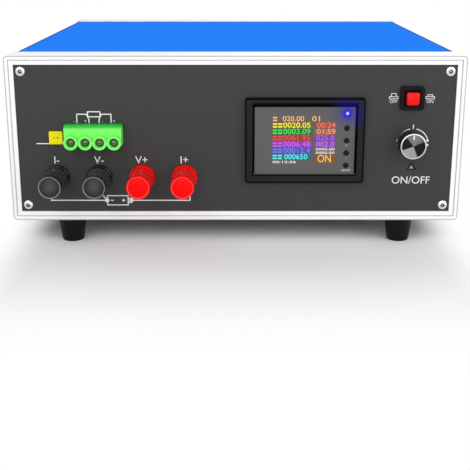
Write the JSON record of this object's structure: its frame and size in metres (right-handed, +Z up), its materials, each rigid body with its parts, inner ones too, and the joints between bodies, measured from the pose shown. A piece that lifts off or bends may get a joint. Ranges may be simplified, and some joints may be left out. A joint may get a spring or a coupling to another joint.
{
  "type": "bench dc electronic load",
  "caption": "Bench dc electronic load in a blue case with white bezels: binding posts, sensing block, display, power button and turn knob in front, guarded fans and supply socket behind.",
  "frame": {"origin": "on the ground at the middle of the whole unit's footprint, posts and guard screws included", "axes": "+X to the right as seen from the front, +Y from the front panel to the rear panel, +Z up"},
  "size_m": [0.325, 0.3508, 0.138],
  "materials": {
    "bezel_white": "smooth moulded white",
    "panel_grey": "satin dark grey",
    "cover_blue": "smooth bright blue enamel",
    "foot_rubber": "matt black",
    "screw_steel": "bright zinc",
    "guard_chrome": "bright plated wire",
    "fan_black": "moulded black",
    "rotor_black": "moulded black with a pale hub disc",
    "sink_aluminium": "plain extruded",
    "spacer_brass": "turned",
    "board_green": "green circuit board",
    "device_black": "moulded black packages",
    "divider_steel": "plain sheet",
    "control_parts": "mixed moulded parts",
    "lead_rubber": "insulated leads",
    "display_black": "fine satin black",
    "window_grey": "grey overlay behind a clear face",
    "lamp_blue": "lit blue",
    "key_black": "matt black",
    "switch_black": "smooth black",
    "button_red": "smooth red",
    "encoder_steel": "plain",
    "knob_metal": "dark anodised with a spun face",
    "terminal_green": "bright green",
    "socket_yellow": "moulded yellow",
    "post_black": "moulded black",
    "post_red": "moulded red",
    "post_brass": "turned",
    "jack_black": "moulded black"
  },
  "bodies": {
    "case": {"front_bezel": "bezel_white", "front_panel": "panel_grey", "rear_bezel": "bezel_white", "rear_panel": "panel_grey", "top_cover": "cover_blue", "bottom_tray": "cover_blue", "feet": "foot_rubber", "foot_screws": "screw_steel", "cover_screws": "screw_steel", "panel_screws": "screw_steel", "cooler_screws": "screw_steel", "guard_screws": "screw_steel", "fan_guard_left": "guard_chrome", "fan_guard_right": "guard_chrome", "fan_frame_left": "fan_black", "fan_frame_right": "fan_black", "heat_sink_left": "sink_aluminium", "heat_sink_right": "sink_aluminium", "standoffs": "spacer_brass", "power_board_left": "board_green", "power_board_right": "board_green", "mosfets": "device_black", "board_screws": "screw_steel", "air_divider": "divider_steel", "control_board": "board_green", "control_parts": "control_parts", "power_leads": "lead_rubber", "display_bezel": "display_black", "display_window": "window_grey", "display_board": "board_green", "status_led": "lamp_blue", "power_switch_body": "switch_black", "encoder_body": "encoder_steel", "encoder_nut": "encoder_steel", "terminal_header": "terminal_green", "sensor_socket": "socket_yellow", "post_bases_black": "post_black", "post_bases_red": "post_red", "post_studs": "post_brass", "dc_jack": "jack_black"},
    "fan_left": {"fan_rotor_left": "rotor_black"},
    "fan_right": {"fan_rotor_right": "rotor_black"},
    "power_button": {"power_button": "button_red"},
    "encoder_plunger": {"encoder_plunger": "key_black"},
    "encoder_knob": {"encoder_shaft": "encoder_steel", "encoder_knob": "knob_metal"},
    "terminal_plug": {"terminal_plug": "terminal_green", "terminal_screws": "screw_steel"},
    "display_key_1": {"display_key_1": "key_black"},
    "post_collar_1": {"post_collar_1": "post_brass"},
    "post_knob_1": {"post_knob_1": "post_black"},
    "display_key_2": {"display_key_2": "key_black"},
    "post_collar_2": {"post_collar_2": "post_brass"},
    "post_knob_2": {"post_knob_2": "post_black"},
    "display_key_3": {"display_key_3": "key_black"},
    "post_collar_3": {"post_collar_3": "post_brass"},
    "post_knob_3": {"post_knob_3": "post_red"},
    "display_key_4": {"display_key_4": "key_black"},
    "post_collar_4": {"post_collar_4": "post_brass"},
    "post_knob_4": {"post_knob_4": "post_red"}
  },
  "joints": [
    {"name": "fan_left_spin", "type": "hinge", "parent": "case", "child": "fan_left", "pos_m": [-0.038, 0.15643, 0.078], "axis": [0, 1, 0], "continuous": true},
    {"name": "fan_right_spin", "type": "hinge", "parent": "case", "child": "fan_right", "pos_m": [0.085, 0.15643, 0.078], "axis": [0, 1, 0], "continuous": true},
    {"name": "power_press", "type": "slide", "parent": "case", "child": "power_button", "axis": [0, 1, 0], "range_m": [0, 0.003], "stiffness_N_per_m": 300},
    {"name": "encoder_press", "type": "slide", "parent": "case", "child": "encoder_plunger", "axis": [0, 1, 0], "range_m": [0, 0.0005], "stiffness_N_per_m": 600},
    {"name": "encoder_turn", "type": "hinge", "parent": "encoder_plunger", "child": "encoder_knob", "pos_m": [0.125, -0.15297, 0.076], "axis": [0, -1, 0], "continuous": true},
    {"name": "key_1_press", "type": "slide", "parent": "case", "child": "display_key_1", "axis": [0, 1, 0], "range_m": [0, 0.0005], "stiffness_N_per_m": 100},
    {"name": "key_2_press", "type": "slide", "parent": "case", "child": "display_key_2", "axis": [0, 1, 0], "range_m": [0, 0.0005], "stiffness_N_per_m": 100},
    {"name": "key_3_press", "type": "slide", "parent": "case", "child": "display_key_3", "axis": [0, 1, 0], "range_m": [0, 0.0005], "stiffness_N_per_m": 100},
    {"name": "key_4_press", "type": "slide", "parent": "case", "child": "display_key_4", "axis": [0, 1, 0], "range_m": [0, 0.0005], "stiffness_N_per_m": 100},
    {"name": "terminal_pull", "type": "slide", "parent": "case", "child": "terminal_plug", "axis": [0, 0, -1], "range_m": [0, 0.009]},
    {"name": "post_1_travel", "type": "slide", "parent": "case", "child": "post_collar_1", "axis": [0, -1, 0], "range_m": [0, 0.0031]},
    {"name": "post_1_turn", "type": "hinge", "parent": "post_collar_1", "child": "post_knob_1", "pos_m": [-0.129, -0.15093, 0.05], "axis": [0, -1, 0], "range_deg": [0, 1080]},
    {"name": "post_2_travel", "type": "slide", "parent": "case", "child": "post_collar_2", "axis": [0, -1, 0], "range_m": [0, 0.0031]},
    {"name": "post_2_turn", "type": "hinge", "parent": "post_collar_2", "child": "post_knob_2", "pos_m": [-0.0983, -0.15093, 0.05], "axis": [0, -1, 0], "range_deg": [0, 1080]},
    {"name": "post_3_travel", "type": "slide", "parent": "case", "child": "post_collar_3", "axis": [0, -1, 0], "range_m": [0, 0.0031]},
    {"name": "post_3_turn", "type": "hinge", "parent": "post_collar_3", "child": "post_knob_3", "pos_m": [-0.0676, -0.15093, 0.05], "axis": [0, -1, 0], "range_deg": [0, 1080]},
    {"name": "post_4_travel", "type": "slide", "parent": "case", "child": "post_collar_4", "axis": [0, -1, 0], "range_m": [0, 0.0031]},
    {"name": "post_4_turn", "type": "hinge", "parent": "post_collar_4", "child": "post_knob_4", "pos_m": [-0.0369, -0.15093, 0.05], "axis": [0, -1, 0], "range_deg": [0, 1080]}
  ],
  "couplings": [
    {"joint": "post_1_travel", "follows": "post_1_turn", "m_per_rad": 0.00015915},
    {"joint": "post_2_travel", "follows": "post_2_turn", "m_per_rad": 0.00015915},
    {"joint": "post_3_travel", "follows": "post_3_turn", "m_per_rad": 0.00015915},
    {"joint": "post_4_travel", "follows": "post_4_turn", "m_per_rad": 0.00015915}
  ]
}
